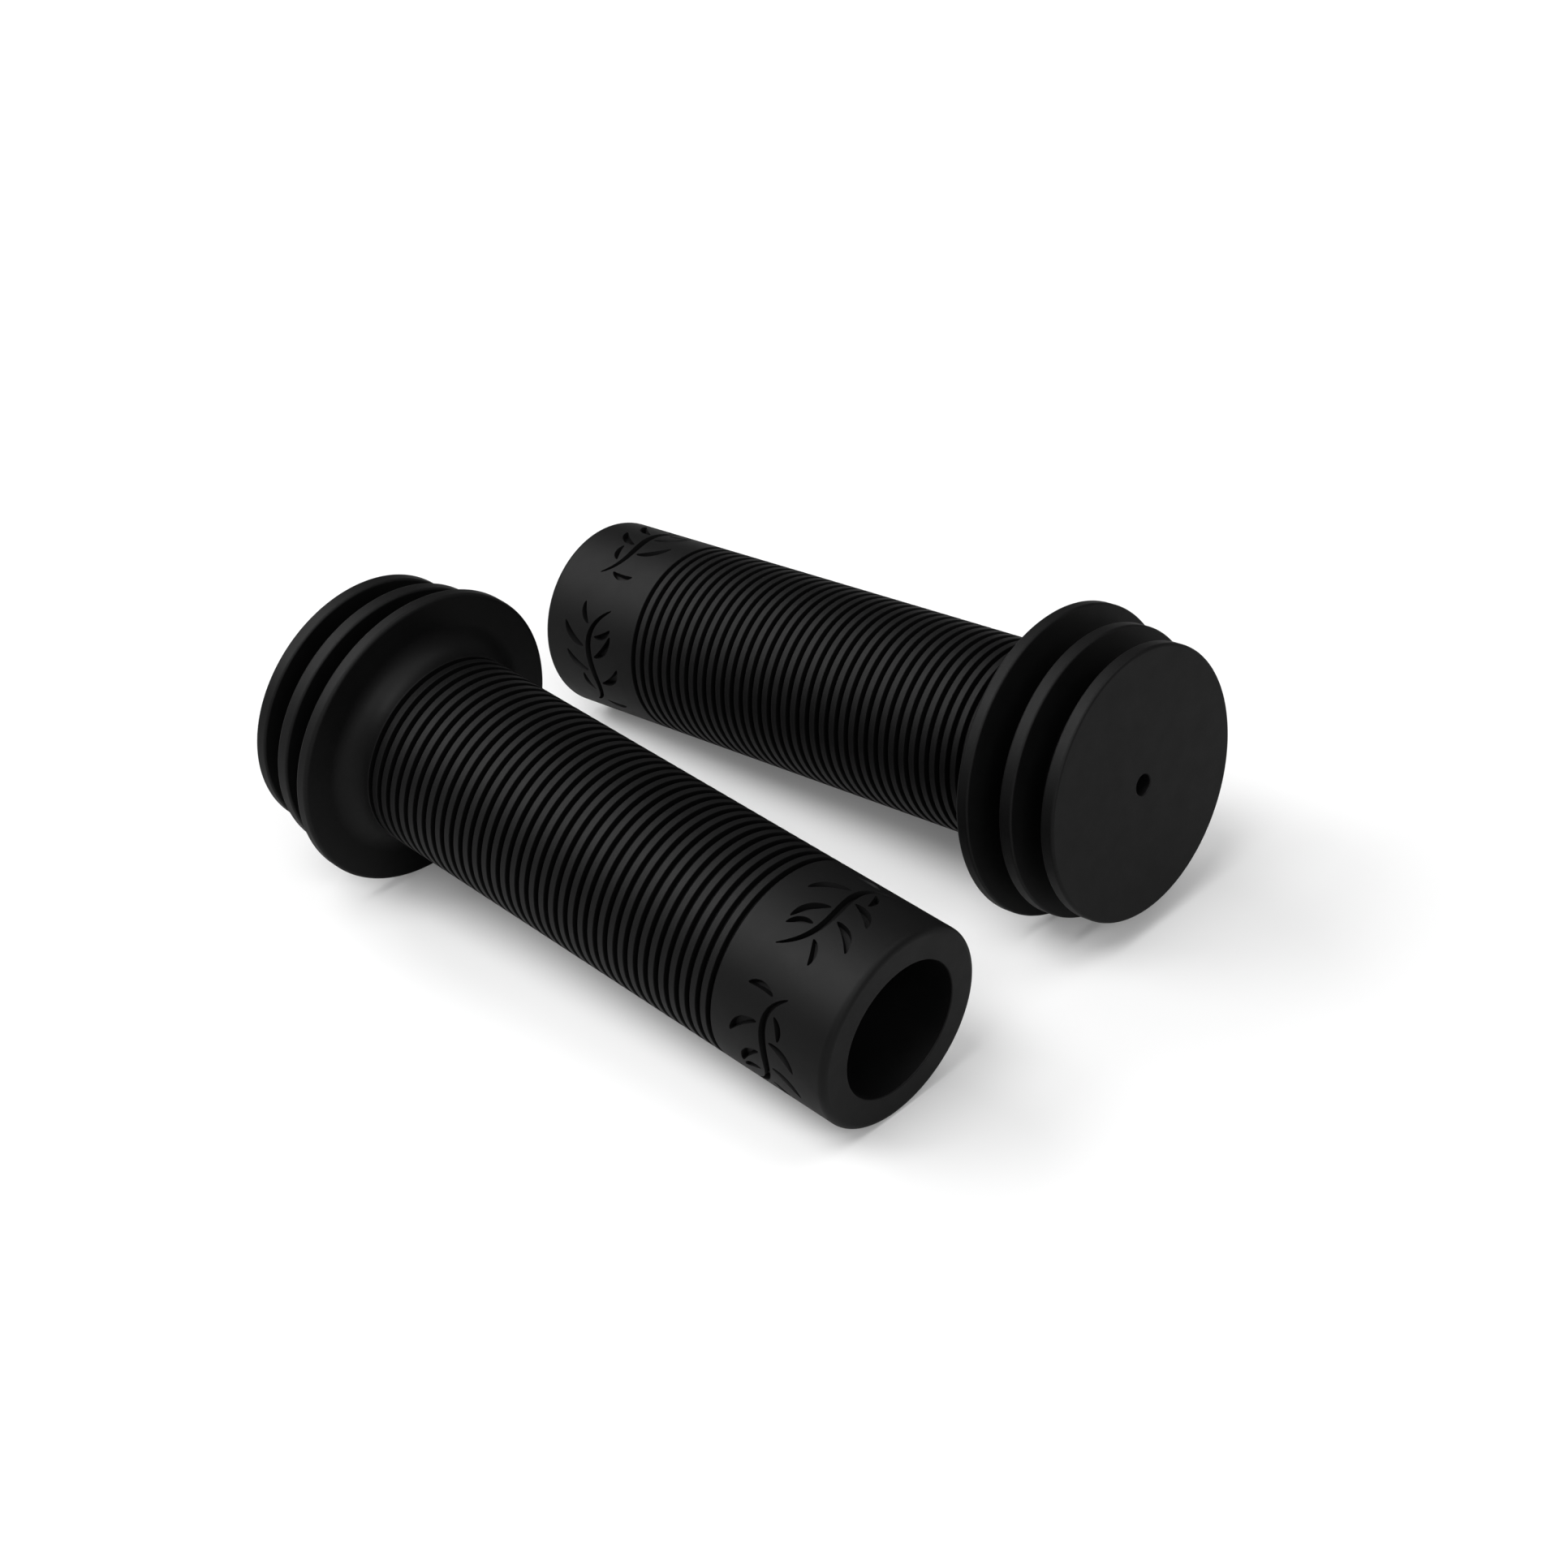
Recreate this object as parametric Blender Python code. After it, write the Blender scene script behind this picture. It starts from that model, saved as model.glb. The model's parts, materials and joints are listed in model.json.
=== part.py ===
"""A pair of slip-on flanged handlebar grips, lying side by side on a flat surface.

Each grip is one rubber moulding, a body of revolution. Its stations are counted along its axis,
from the open end, where the bar goes in, to the closed disc over the bar's end. Metres, +Z up.
"""

import math

import bmesh
import bpy
from mathutils import Euler, Vector

# Bore and sleeve
BORE_RADIUS = 0.0110
BORE_DEPTH = 0.1120
SLEEVE_RADIUS = 0.01605
MOUTH_ROUNDING = 0.0011
MOUTH_STEPS = 3

# Grooves round the sleeve, square in section
GROOVE_COUNT = 36
GROOVE_PITCH = 0.002093
GROOVE_WIDTH = 0.00098
GROOVE_DEPTH = 0.0012
FIRST_GROOVE = 0.0220

# Flange: three fins on a core, the last of them closed
FIN_RADII = (0.02482, 0.02303, 0.02183)
FIN_FRONTS = (0.10010, 0.10690, 0.11375)
FIN_THICKNESSES = (0.00225, 0.00235, 0.00230)
FIN_EDGE = 0.0003
CORE_RADIUS = 0.0150
FILLET_STEPS = 4
VENT_RADIUS = 0.0017

# How the two grips lie: the heading of each axis from +X, and the open ends' offset from left to right
LEFT_HEADING = math.radians(179.36)
RIGHT_HEADING = math.radians(0.0)
OPEN_END_OFFSET = Vector((-0.11723, 0.05800, 0.0))

SEGMENTS = 20
SHARP_ANGLE = math.radians(30.0)
RUBBER_COLOUR = (0.035, 0.035, 0.036, 1.0)
RUBBER_ROUGHNESS = 0.55


def arc(centre_station, centre_radius, size, start, end, steps):
    """Points on a circular arc of the section, with angles in degrees from the +station direction."""
    points = []
    for step in range(steps + 1):
        angle = math.radians(start + (end - start) * step / steps)
        points.append((centre_station + size * math.cos(angle), centre_radius + size * math.sin(angle)))
    return points


def mouth():
    """The flat ring at the open end and its rounded outer edge."""
    inner_edge = (0.0, BORE_RADIUS)
    rounding_centre = (MOUTH_ROUNDING, SLEEVE_RADIUS - MOUTH_ROUNDING)
    return [inner_edge] + arc(*rounding_centre, MOUTH_ROUNDING, 180, 90, MOUTH_STEPS)


def grooves():
    """The grooved stretch of the sleeve."""
    points = []
    floor = SLEEVE_RADIUS - GROOVE_DEPTH
    for index in range(GROOVE_COUNT):
        near = FIRST_GROOVE + index * GROOVE_PITCH - GROOVE_WIDTH / 2
        far = near + GROOVE_WIDTH
        points += [(near, SLEEVE_RADIUS), (near, floor), (far, floor), (far, SLEEVE_RADIUS)]
    return points


def flare():
    """The hollow fillet from the sleeve up to the front of the first fin."""
    last_groove = FIRST_GROOVE + (GROOVE_COUNT - 1) * GROOVE_PITCH
    start = last_groove + GROOVE_PITCH / 2
    size = FIN_FRONTS[0] - start
    return arc(start, SLEEVE_RADIUS + size, size, -90, 0, FILLET_STEPS)


def fin(index):
    """The rim of one fin, with its two edges broken, and the roots that face a neighbouring fin."""
    front = FIN_FRONTS[index]
    back = front + FIN_THICKNESSES[index]
    rim = FIN_RADII[index]
    points = [(front, rim - FIN_EDGE), (front + FIN_EDGE, rim), (back - FIN_EDGE, rim), (back, rim - FIN_EDGE)]
    if index > 0:
        points.insert(0, (front, CORE_RADIUS))
    if index < len(FIN_RADII) - 1:
        points.append((back, CORE_RADIUS))
    return points


def closed_end():
    """The vent through the closing disc, and the bore's flat bottom."""
    outer_face = FIN_FRONTS[-1] + FIN_THICKNESSES[-1]
    return [(outer_face, VENT_RADIUS), (BORE_DEPTH, VENT_RADIUS), (BORE_DEPTH, BORE_RADIUS)]


def section():
    """The whole closed outline of the section, as (station, radius)."""
    points = mouth() + grooves() + flare()
    for index in range(len(FIN_RADII)):
        points += fin(index)
    return points + closed_end()


def turned_mesh(name):
    """The section spun round the local X axis, starting from the grip's underside."""
    bm = bmesh.new()
    corners = [bm.verts.new((station, 0.0, -radius)) for station, radius in section()]
    edges = [bm.edges.new((corner, corners[index - 1])) for index, corner in enumerate(corners)]
    bmesh.ops.spin(
        bm,
        geom=corners + edges,
        cent=(0.0, 0.0, 0.0),
        axis=(1.0, 0.0, 0.0),
        angle=2 * math.pi,
        steps=SEGMENTS,
        use_merge=True,
    )
    bmesh.ops.recalc_face_normals(bm, faces=bm.faces)
    mesh = bpy.data.meshes.new(name)
    bm.to_mesh(mesh)
    bm.free()
    return mesh


def rubber(name):
    """Matt black moulded rubber."""
    material = bpy.data.materials.new(name)
    material.use_nodes = True
    shader = material.node_tree.nodes["Principled BSDF"]
    shader.inputs["Base Color"].default_value = RUBBER_COLOUR
    shader.inputs["Roughness"].default_value = RUBBER_ROUGHNESS
    shader.inputs["Metallic"].default_value = 0.0
    return material


def resting_tilt():
    """The slope of a grip that lies on the edge of its mouth and on its first, widest fin."""
    fin_edge = FIN_FRONTS[0] + FIN_EDGE
    return math.atan2(FIN_RADII[0] - SLEEVE_RADIUS, fin_edge - MOUTH_ROUNDING)


def make_grip(name, heading, open_end):
    """One grip lying on z = 0. Its origin is the centre of its open end, and its local +X is its axis."""
    tilt = resting_tilt()
    height = SLEEVE_RADIUS * math.cos(tilt) - MOUTH_ROUNDING * math.sin(tilt)
    mesh = turned_mesh(name)
    mesh.materials.append(rubber(name + "_rubber"))
    mesh.shade_smooth()
    mesh.set_sharp_from_angle(angle=SHARP_ANGLE)
    grip = bpy.data.objects.new(name, mesh)
    grip.location = open_end + Vector((0.0, 0.0, height))
    grip.rotation_euler = Euler((0.0, -tilt, heading), "XYZ")
    bpy.context.scene.collection.objects.link(grip)
    return grip


def centre_on_origin(objects):
    """Moves the objects so that the middle of their shared box stands over the origin."""
    bpy.context.view_layer.update()
    corners = [item.matrix_world @ vertex.co for item in objects for vertex in item.data.vertices]
    for axis in (0, 1):
        values = [corner[axis] for corner in corners]
        middle = (min(values) + max(values)) / 2
        for item in objects:
            item.location[axis] -= middle


def main():
    for old in list(bpy.data.objects):
        bpy.data.objects.remove(old)
    left_grip = make_grip("left_grip", LEFT_HEADING, Vector((0.0, 0.0, 0.0)))
    right_grip = make_grip("right_grip", RIGHT_HEADING, OPEN_END_OFFSET)
    centre_on_origin([left_grip, right_grip])


main()
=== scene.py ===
"""The looks of a pair of flanged handlebar grips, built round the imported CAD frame. Metres, in the row frame.

Each grip is one turned rubber moulding. Its stations run along its axis from the open end to the closed disc.
"""

import json
import math

import bmesh
import bpy
import numpy as np
from mathutils import Matrix, Vector


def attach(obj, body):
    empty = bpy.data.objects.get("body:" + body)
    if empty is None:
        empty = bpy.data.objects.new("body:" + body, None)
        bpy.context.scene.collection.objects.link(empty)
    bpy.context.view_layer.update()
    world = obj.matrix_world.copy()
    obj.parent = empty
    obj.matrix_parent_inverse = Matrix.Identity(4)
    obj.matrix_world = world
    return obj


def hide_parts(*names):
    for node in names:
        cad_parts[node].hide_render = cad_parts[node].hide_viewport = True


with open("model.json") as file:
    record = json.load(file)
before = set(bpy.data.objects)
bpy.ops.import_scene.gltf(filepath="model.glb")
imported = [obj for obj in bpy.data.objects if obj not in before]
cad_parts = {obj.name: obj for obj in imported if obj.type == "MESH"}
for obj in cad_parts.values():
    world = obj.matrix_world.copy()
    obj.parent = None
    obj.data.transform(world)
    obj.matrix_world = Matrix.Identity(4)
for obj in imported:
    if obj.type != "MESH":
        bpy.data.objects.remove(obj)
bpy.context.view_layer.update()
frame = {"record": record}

MM = 0.001
WHITE = (1.0, 1.0, 1.0, 1.0)

# The grip's section, as in the CAD part
BORE_RADIUS = 11.0 * MM
BORE_DEPTH = 112.0 * MM
SLEEVE_RADIUS = 16.05 * MM
MOUTH_ROUNDING = 1.1 * MM
GROOVE_COUNT = 36
GROOVE_PITCH = 2.093 * MM
GROOVE_WIDTH = 0.98 * MM
GROOVE_DEPTH = 1.2 * MM
FIRST_GROOVE = 22.0 * MM
FIN_RADII = (24.82 * MM, 23.03 * MM, 21.83 * MM)
FIN_FRONTS = (100.10 * MM, 106.90 * MM, 113.75 * MM)
FIN_THICKNESSES = (2.25 * MM, 2.35 * MM, 2.30 * MM)
CORE_RADIUS = 15.0 * MM
VENT_RADIUS = 1.7 * MM

# Small roundings that only the visible surface has. Each fin's pair is its front edge, then its back edge.
LIP_ROUNDING = 0.20 * MM
CREST_CHAMFER = 0.07 * MM
FIN_ROUNDINGS = ((0.60 * MM, 0.40 * MM), (0.40 * MM, 0.40 * MM), (0.40 * MM, 0.50 * MM))
FIN_ROOT_ROUNDING = 0.80 * MM

# How finely the section is drawn and turned
SMALL_ARC_STEPS = 6
MOUTH_STEPS = 10
FLARE_STEPS = 14
HOLD = 0.05 * MM
SEGMENTS = 224
SHARP_ANGLE = math.radians(30.0)

# Engraved vines on the smooth band
VINE_COUNT = 4
VINE_PHASE = math.radians(2.0)
VINE_STATION = 11.9 * MM
ENGRAVING_DEPTH = 1.0 * MM
FLOOR_SHARE = 0.65
CUTTER_CLEARANCE = 0.15 * MM

# One vine laid flat, in millimetres: control points along the girth and along the grip
STEM = ((-9.6, -3.0), (-4.5, 4.6), (3.5, -6.4), (9.6, 3.2))
STEM_WIDTH = 1.35
STEM_STEPS = 30
LEAF = ((0.4, 0.0), (1.2, 3.4), (4.4, 4.6))
LEAF_WIDTH = 1.35
LEAF_STEPS = 18
LEAF_GAP = 1.2
# Each leaf's place along the stem from 0 to 1, and its size, on the stem's two sides
LEAVES_LEFT = ((0.08, 0.75), (0.29, 1.0), (0.53, 0.95), (0.74, 0.65))
LEAVES_RIGHT = ((0.15, 0.6), (0.41, 0.9), (0.62, 0.95), (0.80, 0.65))
# A stroke's width at its tips as a share of its full width, and how fast it swells between them
TIP_SHARE = 0.15
SWELL_POWER = 0.7
TANGENT_STEP = 0.01

# Moulded rubber. The scales are in noise cells to the metre.
RUBBER_DARK = (0.0007, 0.0007, 0.00073, 1.0)
RUBBER_LIGHT = (0.0016, 0.0016, 0.00165, 1.0)
RUBBER_ROUGHNESS = (0.50, 0.62)
RUBBER_SPECULAR = 0.18
MOTTLE_SCALE = 90.0
MOTTLE_DETAIL = 4.0
MOTTLE_ROUGHNESS = 0.6
MOTTLE_RANGE = (0.3, 0.7)
GLOSS_SCALE = 260.0
GRAIN_SCALE = 2600.0
FINE_DETAIL = 3.0
GRAIN_STRENGTH = 0.25
GRAIN_HEIGHT = 0.03 * MM

# Camera
CAMERA_TARGET = Vector((-14.18 * MM, 23.55 * MM, 0.0))
CAMERA_DISTANCE = 482.6 * MM
CAMERA_AZIMUTH = math.radians(45.0)
CAMERA_ELEVATION = math.radians(33.16)
CAMERA_ROLL = math.radians(-3.88)
CAMERA_LENS = 65.68
CAMERA_SENSOR = 36.0
CAMERA_CLIP = (0.01, 50.0)

# Floor. The painted glow that only the camera sees lightens the shadows near the object and whitens the floor far from
# it.
FLOOR_HALF = 3.0
FLOOR_TONE = 0.66
FLOOR_TONE_IN_REFLECTIONS = 0.46
FLOOR_ROUGHNESS = 0.9
FLOOR_SPECULAR = 0.1
GLOW_RADII = (0.25, 0.90)
GLOW = (0.12, 1.0)

# Light: each lamp's name, azimuth and elevation in degrees, and power in watts
LAMPS = (
    ("above", 0.0, 65.0, 40.0),
    ("left", -45.0, 42.0, 29.0),
    ("back_left", -90.0, 42.0, 18.0),
    ("right", 65.0, 33.0, 26.0),
    ("back_right", 135.0, 65.0, 14.0),
)
LAMP_DISTANCE = 2.5
LAMP_SIZE = 1.5
DOME_STRENGTH = 0.12
BACKDROP_STRENGTH = 1.0


def arc(station, radius, size, start, end, steps=SMALL_ARC_STEPS):
    """An arc of the section, with angles in degrees from the +station direction.

    One more point a little beyond each end, along the tangent, keeps the flats beside the arc shaded flat.
    """
    turn = math.copysign(1.0, end - start)
    points = []
    for step, beyond in [(0, -HOLD), *((step, 0.0) for step in range(steps + 1)), (steps, HOLD)]:
        angle = math.radians(start + (end - start) * step / steps)
        along, outward = math.cos(angle), math.sin(angle)
        ahead = turn * beyond
        points.append((station + size * along - ahead * outward, radius + size * outward + ahead * along))
    return points


def mouth():
    """The lip of the bore, the flat ring and its rounded outer edge."""
    lip = arc(LIP_ROUNDING, BORE_RADIUS + LIP_ROUNDING, LIP_ROUNDING, 270, 180)
    return lip + arc(MOUTH_ROUNDING, SLEEVE_RADIUS - MOUTH_ROUNDING, MOUTH_ROUNDING, 180, 90, MOUTH_STEPS)


def groove(middle):
    """One square groove with chamfered crests."""
    near, far = middle - GROOVE_WIDTH / 2, middle + GROOVE_WIDTH / 2
    floor, shoulder = SLEEVE_RADIUS - GROOVE_DEPTH, SLEEVE_RADIUS - CREST_CHAMFER
    return [
        (near - CREST_CHAMFER, SLEEVE_RADIUS),
        (near, shoulder),
        (near, floor),
        (far, floor),
        (far, shoulder),
        (far + CREST_CHAMFER, SLEEVE_RADIUS),
    ]


def flare():
    """The hollow fillet from the sleeve up to the front of the first fin."""
    start = FIRST_GROOVE + (GROOVE_COUNT - 0.5) * GROOVE_PITCH
    size = FIN_FRONTS[0] - start
    return arc(start, SLEEVE_RADIUS + size, size, -90, 0, FLARE_STEPS)


def fin(index):
    """One fin: its root on the core, its rounded rim, and the root behind it."""
    front = FIN_FRONTS[index]
    back = front + FIN_THICKNESSES[index]
    front_edge, back_edge = FIN_ROUNDINGS[index]
    rim, root = FIN_RADII[index], FIN_ROOT_ROUNDING
    points = []
    if index > 0:
        points += arc(front - root, CORE_RADIUS + root, root, 270, 360)
    points += arc(front + front_edge, rim - front_edge, front_edge, 180, 90)
    points += arc(back - back_edge, rim - back_edge, back_edge, 90, 0)
    if index < len(FIN_RADII) - 1:
        points += arc(back + root, CORE_RADIUS + root, root, 180, 270)
    return points


def closed_end():
    """The vent through the closing disc, and the bore's flat bottom."""
    outer_face = FIN_FRONTS[-1] + FIN_THICKNESSES[-1]
    lip = arc(outer_face - LIP_ROUNDING, VENT_RADIUS + LIP_ROUNDING, LIP_ROUNDING, 0, -90)
    return lip + [(BORE_DEPTH, VENT_RADIUS), (BORE_DEPTH, BORE_RADIUS)]


def section():
    """The whole closed outline of the section, as (station, radius)."""
    points = mouth()
    for index in range(GROOVE_COUNT):
        points += groove(FIRST_GROOVE + index * GROOVE_PITCH)
    points += flare()
    for index in range(len(FIN_RADII)):
        points += fin(index)
    return points + closed_end()


def turned_body(name):
    """The section turned round the local X axis."""
    outline = np.array(section())
    rings = len(outline)
    turn = np.linspace(0, 2 * math.pi, SEGMENTS, endpoint=False)
    stations = np.repeat(outline[:, 0], SEGMENTS)
    sideways = np.outer(outline[:, 1], np.sin(turn)).ravel()
    upward = np.outer(outline[:, 1], np.cos(turn)).ravel()
    faces = []
    for ring in range(rings):
        here, there = ring * SEGMENTS, (ring + 1) % rings * SEGMENTS
        for step in range(SEGMENTS):
            after = (step + 1) % SEGMENTS
            faces.append((here + step, there + step, there + after, here + after))
    mesh = bpy.data.meshes.new(name)
    mesh.from_pydata(np.column_stack([stations, sideways, upward]).tolist(), [], faces)
    return mesh


def bezier(points, t):
    """A point on the Bezier curve through these control points, by de Casteljau's steps."""
    points = [Vector(p) for p in points]
    while len(points) > 1:
        points = [a.lerp(b, t) for a, b in zip(points, points[1:])]
    return points[0]


def stroke(controls, width, steps):
    """A brush stroke along a Bezier curve: at each step its middle, and the way from there to its left edge."""
    points = []
    for step in range(steps + 1):
        t = step / steps
        after, before = min(t + TANGENT_STEP, 1.0), max(t - TANGENT_STEP, 0.0)
        ahead = bezier(controls, after) - bezier(controls, before)
        across = Vector((-ahead.y, ahead.x)).normalized()
        swell = TIP_SHARE + (1.0 - TIP_SHARE) * math.sin(math.pi * t) ** SWELL_POWER
        points.append((bezier(controls, t), across * swell * width / 2))
    return points


def vine():
    """The strokes of one leafy vine, flat, in millimetres round the middle of its place."""
    strokes = [stroke(STEM, STEM_WIDTH, STEM_STEPS)]
    for side, leaves in ((1, LEAVES_LEFT), (-1, LEAVES_RIGHT)):
        for t, size in leaves:
            base = bezier(STEM, t)
            ahead = (bezier(STEM, t + TANGENT_STEP) - bezier(STEM, t - TANGENT_STEP)).normalized()
            out = Vector((-ahead.y, ahead.x)) * side
            controls = [base + ahead * x * size + out * (LEAF_GAP + y * size) for x, y in LEAF]
            strokes.append(stroke(controls, LEAF_WIDTH * math.sqrt(size), LEAF_STEPS))
    return strokes


def on_sleeve(along, station, radius):
    """The local point at a distance along the sleeve's girth from its top, at a station and radius."""
    angle = along / SLEEVE_RADIUS
    return (station, radius * math.sin(angle), radius * math.cos(angle))


def add_cutter(bm, points, centre_along):
    """One stroke as a closed solid with sloping sides, from the engraving's floor to clear of the sleeve."""
    floor = SLEEVE_RADIUS - ENGRAVING_DEPTH
    top = SLEEVE_RADIUS + CUTTER_CLEARANCE
    slope = (1.0 - FLOOR_SHARE) / ENGRAVING_DEPTH
    rows = []
    for side, radius in ((1, floor), (-1, floor), (-1, top), (1, top)):
        share = FLOOR_SHARE + slope * (radius - floor)
        row = []
        for middle, half in points:
            point = (middle + half * side * share) * MM
            row.append(bm.verts.new(on_sleeve(centre_along + point.x, VINE_STATION + point.y, radius)))
        rows.append(row)
    for index, row in enumerate(rows):
        beside = rows[(index + 1) % len(rows)]
        for step in range(len(row) - 1):
            bm.faces.new((row[step], row[step + 1], beside[step + 1], beside[step]))
    for end in (0, -1):
        bm.faces.new([row[end] for row in rows])


def engraving_cutter(name):
    """All the strokes of the vines round the band, as one mesh of separate solids."""
    bm = bmesh.new()
    for copy in range(VINE_COUNT):
        centre_along = (VINE_PHASE + copy * 2 * math.pi / VINE_COUNT) * SLEEVE_RADIUS
        for points in vine():
            add_cutter(bm, points, centre_along)
    bmesh.ops.recalc_face_normals(bm, faces=bm.faces)
    mesh = bpy.data.meshes.new(name)
    bm.to_mesh(mesh)
    bm.free()
    return mesh


def engraved_mesh(name):
    """The turned body with the vines cut into its band."""
    body = bpy.data.objects.new(name + "_blank", turned_body(name + "_blank"))
    cutter = bpy.data.objects.new(name + "_cutter", engraving_cutter(name + "_cutter"))
    for item in (body, cutter):
        bpy.context.scene.collection.objects.link(item)
    cut = body.modifiers.new("engraving", "BOOLEAN")
    cut.operation = "DIFFERENCE"
    cut.solver = "EXACT"
    cut.object = cutter
    graph = bpy.context.evaluated_depsgraph_get()
    mesh = bpy.data.meshes.new_from_object(body.evaluated_get(graph))
    mesh.name = name
    for item in (body, cutter):
        bpy.data.objects.remove(item)
    mesh.shade_smooth()
    mesh.set_sharp_from_angle(angle=SHARP_ANGLE)
    return mesh


def grip_matrix(mount):
    """A grip's place: local +X is its axis and local +Z its upper side, from the mount on the ring round its mouth."""
    axis = -Vector(mount["axis"]).normalized()
    upper = (Vector((0, 0, 1)) - axis * axis.z).normalized()
    ring_middle = (BORE_RADIUS + SLEEVE_RADIUS - MOUTH_ROUNDING) / 2
    origin = Vector(mount["pos_m"]) - upper * ring_middle
    rotation = Matrix((axis, upper.cross(axis), upper)).transposed()
    return Matrix.Translation(origin) @ rotation.to_4x4()


def node(tree, kind, **settings):
    """A new shader node with some of its inputs or properties set by name."""
    made = tree.nodes.new(kind)
    for key, value in settings.items():
        label = key.replace("_", " ").title()
        if label in made.inputs:
            made.inputs[label].default_value = value
        else:
            setattr(made, key, value)
    return made


def rubber():
    """Black moulded rubber: satin, faintly mottled, with a fine moulded grain."""
    material = bpy.data.materials.new("moulded_rubber")
    material.use_nodes = True
    tree = material.node_tree
    link = tree.links.new
    shader = tree.nodes["Principled BSDF"]
    shader.inputs["Specular IOR Level"].default_value = RUBBER_SPECULAR
    place = node(tree, "ShaderNodeTexCoord")

    mottle = node(
        tree, "ShaderNodeTexNoise", scale=MOTTLE_SCALE, detail=MOTTLE_DETAIL, roughness=MOTTLE_ROUGHNESS
    )
    link(place.outputs["Object"], mottle.inputs["Vector"])
    tint = node(tree, "ShaderNodeValToRGB")
    for stop, position, colour in zip(tint.color_ramp.elements, MOTTLE_RANGE, (RUBBER_DARK, RUBBER_LIGHT)):
        stop.position = position
        stop.color = colour
    link(mottle.outputs["Fac"], tint.inputs["Fac"])
    link(tint.outputs["Color"], shader.inputs["Base Color"])

    patches = node(tree, "ShaderNodeTexNoise", scale=GLOSS_SCALE, detail=FINE_DETAIL)
    link(place.outputs["Object"], patches.inputs["Vector"])
    gloss = node(tree, "ShaderNodeMapRange", to_min=RUBBER_ROUGHNESS[0], to_max=RUBBER_ROUGHNESS[1])
    link(patches.outputs["Fac"], gloss.inputs["Value"])
    link(gloss.outputs["Result"], shader.inputs["Roughness"])

    grain = node(tree, "ShaderNodeTexNoise", scale=GRAIN_SCALE, detail=FINE_DETAIL)
    link(place.outputs["Object"], grain.inputs["Vector"])
    bump = node(tree, "ShaderNodeBump", strength=GRAIN_STRENGTH, distance=GRAIN_HEIGHT)
    link(grain.outputs["Fac"], bump.inputs["Height"])
    link(bump.outputs["Normal"], shader.inputs["Normal"])
    return material


def make_grips():
    """One moulding for each CAD grip, both from the same mould, with the place baked into the mesh."""
    mounts = {mount["name"]: mount for mount in frame["record"]["mounts"]}
    moulding = engraved_mesh("grip_moulding")
    moulding.materials.clear()
    moulding.materials.append(rubber())
    for side in ("left", "right"):
        mesh = moulding.copy()
        mesh.transform(grip_matrix(mounts[side + "_mouth"]))
        piece = bpy.data.objects.new(side + "_grip_moulding", mesh)
        bpy.context.scene.collection.objects.link(piece)
        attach(piece, side + "_grip")
        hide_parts(side + "_grip")


def direction(azimuth, elevation):
    """A unit vector from the object towards a place, with azimuth 0 in front, at -Y, and turning towards +X."""
    flat = math.cos(elevation)
    return Vector((math.sin(azimuth) * flat, -math.cos(azimuth) * flat, math.sin(elevation)))


def make_camera():
    """The camera, aimed at a point on the floor between the grips and then rolled."""
    back = direction(CAMERA_AZIMUTH, CAMERA_ELEVATION)
    data = bpy.data.cameras.new("camera")
    data.lens = CAMERA_LENS
    data.sensor_width = CAMERA_SENSOR
    data.clip_start, data.clip_end = CAMERA_CLIP
    camera = bpy.data.objects.new("camera", data)
    level = (-back).to_track_quat("-Z", "Y").to_matrix()
    rolled = level @ Matrix.Rotation(CAMERA_ROLL, 3, "Z")
    camera.matrix_world = Matrix.Translation(CAMERA_TARGET + back * CAMERA_DISTANCE) @ rolled.to_4x4()
    bpy.context.scene.collection.objects.link(camera)
    bpy.context.scene.camera = camera


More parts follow.
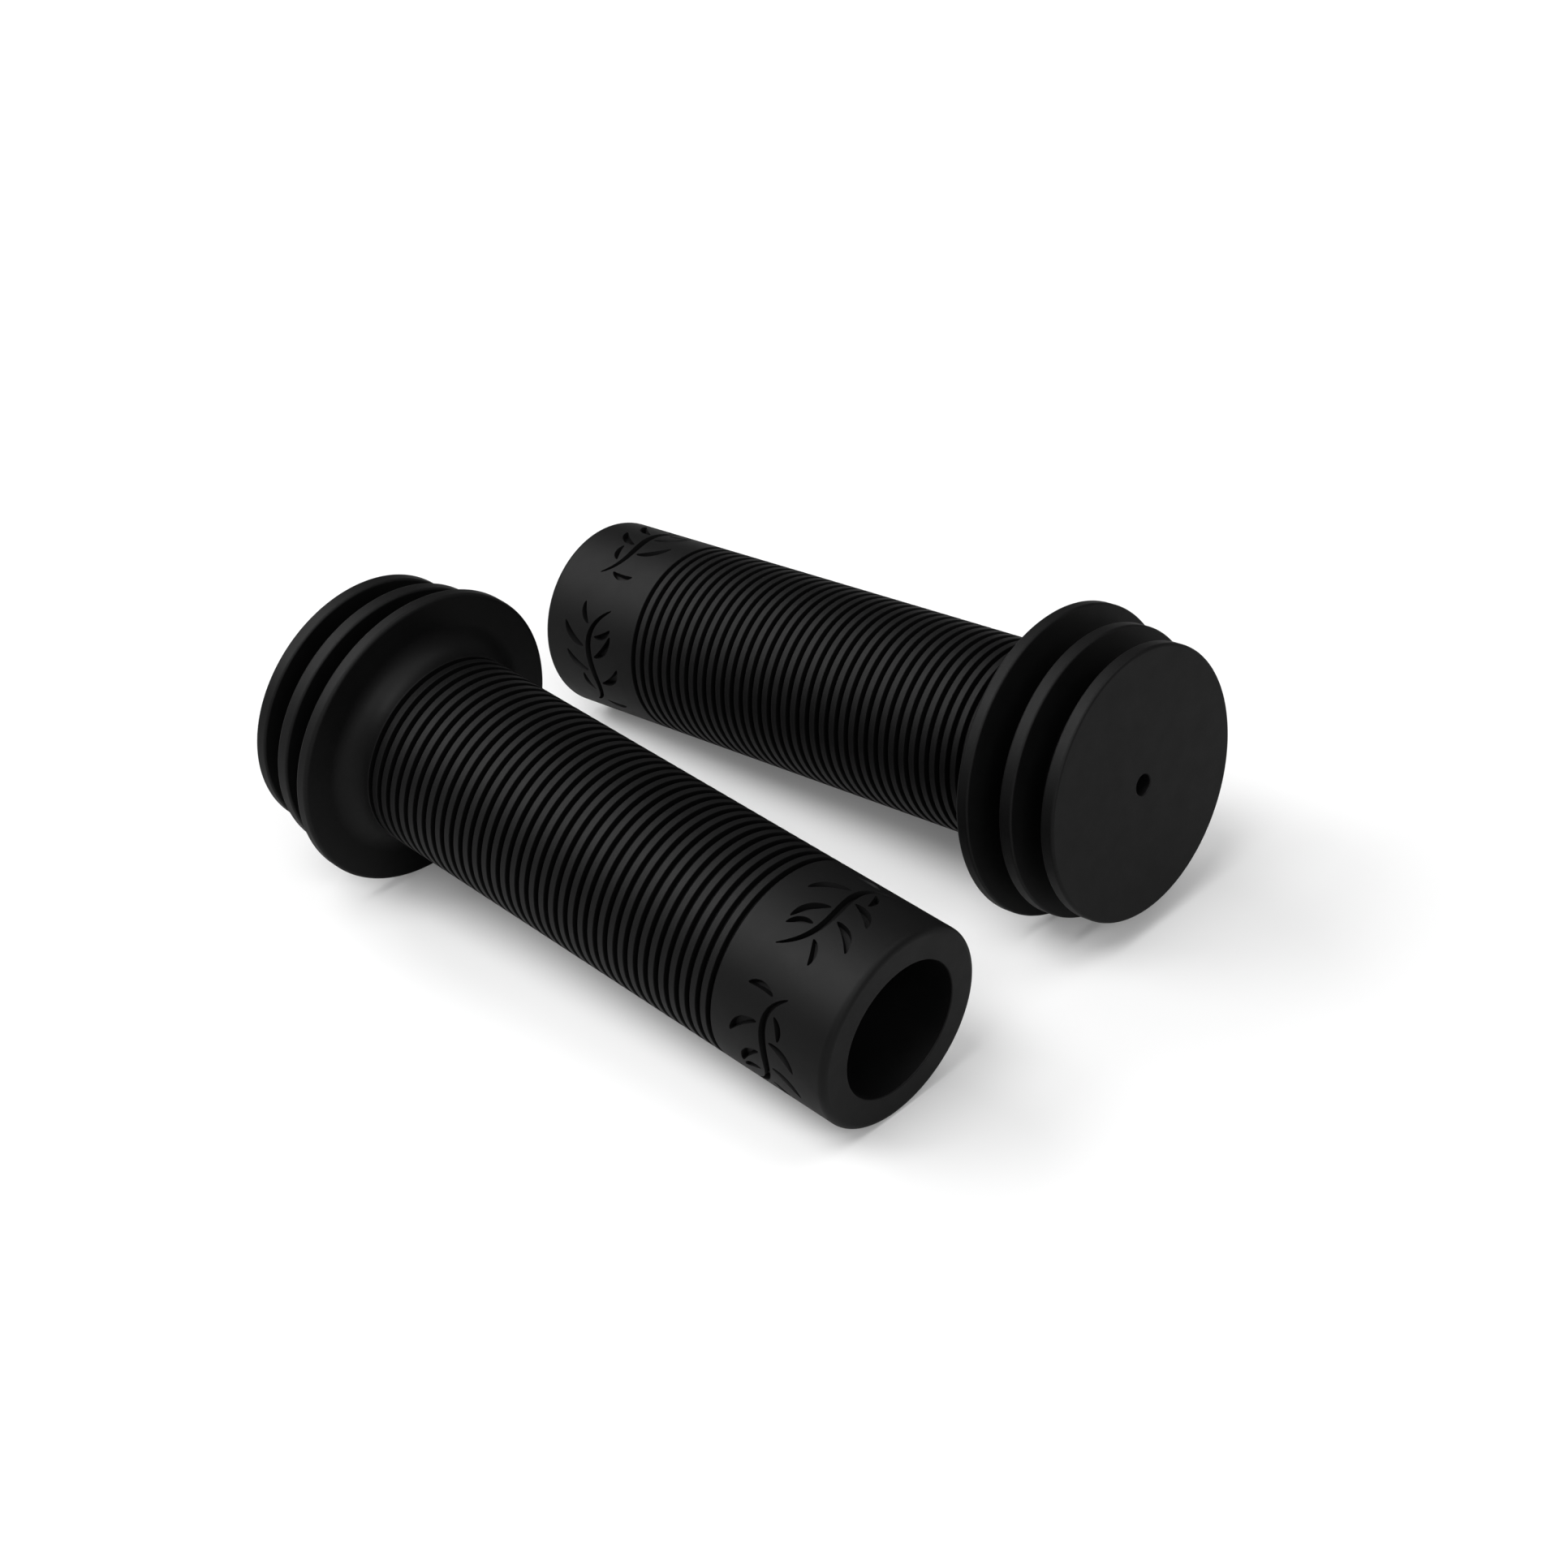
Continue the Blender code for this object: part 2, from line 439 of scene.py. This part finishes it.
def pale_floor():
    """A plain white floor with a painted glow, seen only by the camera, that lightens the shadows near the object and
    fades the floor into the backdrop far from it; the rubber reflects the floor a little more weakly.
    """
    material = bpy.data.materials.new("pale_floor")
    material.use_nodes = True
    tree = material.node_tree
    link = tree.links.new
    shader = tree.nodes["Principled BSDF"]
    shader.inputs["Roughness"].default_value = FLOOR_ROUGHNESS
    shader.inputs["Specular IOR Level"].default_value = FLOOR_SPECULAR
    shader.inputs["Emission Color"].default_value = WHITE
    rays = node(tree, "ShaderNodeLightPath")
    tone = node(tree, "ShaderNodeMapRange", to_min=FLOOR_TONE, to_max=FLOOR_TONE_IN_REFLECTIONS)
    link(rays.outputs["Is Glossy Ray"], tone.inputs["Value"])
    link(tone.outputs["Result"], shader.inputs["Base Color"])

    # Painted glow: emission that only the camera sees, weakest near the object where it lightens the cast shadows, and
    # full far away.
    place = node(tree, "ShaderNodeTexCoord")
    distance = node(tree, "ShaderNodeVectorMath", operation="LENGTH")
    link(place.outputs["Object"], distance.inputs[0])
    near, far = GLOW_RADII
    glow = node(tree, "ShaderNodeMapRange", from_min=near, from_max=far, to_min=GLOW[0], to_max=GLOW[1])
    link(distance.outputs["Value"], glow.inputs["Value"])
    seen = node(tree, "ShaderNodeMath", operation="MULTIPLY")
    link(glow.outputs["Result"], seen.inputs[0])
    link(rays.outputs["Is Camera Ray"], seen.inputs[1])
    link(seen.outputs["Value"], shader.inputs["Emission Strength"])
    return material


def make_floor():
    """A plain, wide, pale floor."""
    mesh = bpy.data.meshes.new("floor")
    corners = [(x * FLOOR_HALF, y * FLOOR_HALF, 0.0) for x, y in ((-1, -1), (1, -1), (1, 1), (-1, 1))]
    mesh.from_pydata(corners, [], [(0, 1, 2, 3)])
    mesh.materials.append(pale_floor())
    floor = bpy.data.objects.new("floor", mesh)
    bpy.context.scene.collection.objects.link(floor)


def make_world():
    """A dim even dome for the light, which the camera itself sees as plain white."""
    world = bpy.data.worlds.new("studio")
    world.use_nodes = True
    tree = world.node_tree
    link = tree.links.new
    dome = tree.nodes["Background"]
    dome.inputs["Color"].default_value = WHITE
    dome.inputs["Strength"].default_value = DOME_STRENGTH
    backdrop = node(tree, "ShaderNodeBackground", color=WHITE, strength=BACKDROP_STRENGTH)
    rays = node(tree, "ShaderNodeLightPath")
    choice = node(tree, "ShaderNodeMixShader")
    link(rays.outputs["Is Camera Ray"], choice.inputs["Fac"])
    link(dome.outputs["Background"], choice.inputs[1])
    link(backdrop.outputs["Background"], choice.inputs[2])
    link(choice.outputs["Shader"], tree.nodes["World Output"].inputs["Surface"])
    bpy.context.scene.world = world


def make_lamp(name, azimuth, elevation, power):
    """A round soft lamp, pointed at the object."""
    data = bpy.data.lights.new(name, "AREA")
    data.shape = "DISK"
    data.size = LAMP_SIZE
    data.energy = power
    lamp = bpy.data.objects.new(name, data)
    towards = direction(math.radians(azimuth), math.radians(elevation))
    turn = towards.to_track_quat("Z", "Y").to_matrix().to_4x4()
    lamp.matrix_world = Matrix.Translation(towards * LAMP_DISTANCE) @ turn
    bpy.context.scene.collection.objects.link(lamp)


make_camera()
make_grips()
make_floor()
make_world()
for settings in LAMPS:
    make_lamp(*settings)
bpy.context.scene.view_settings.view_transform = "Standard"
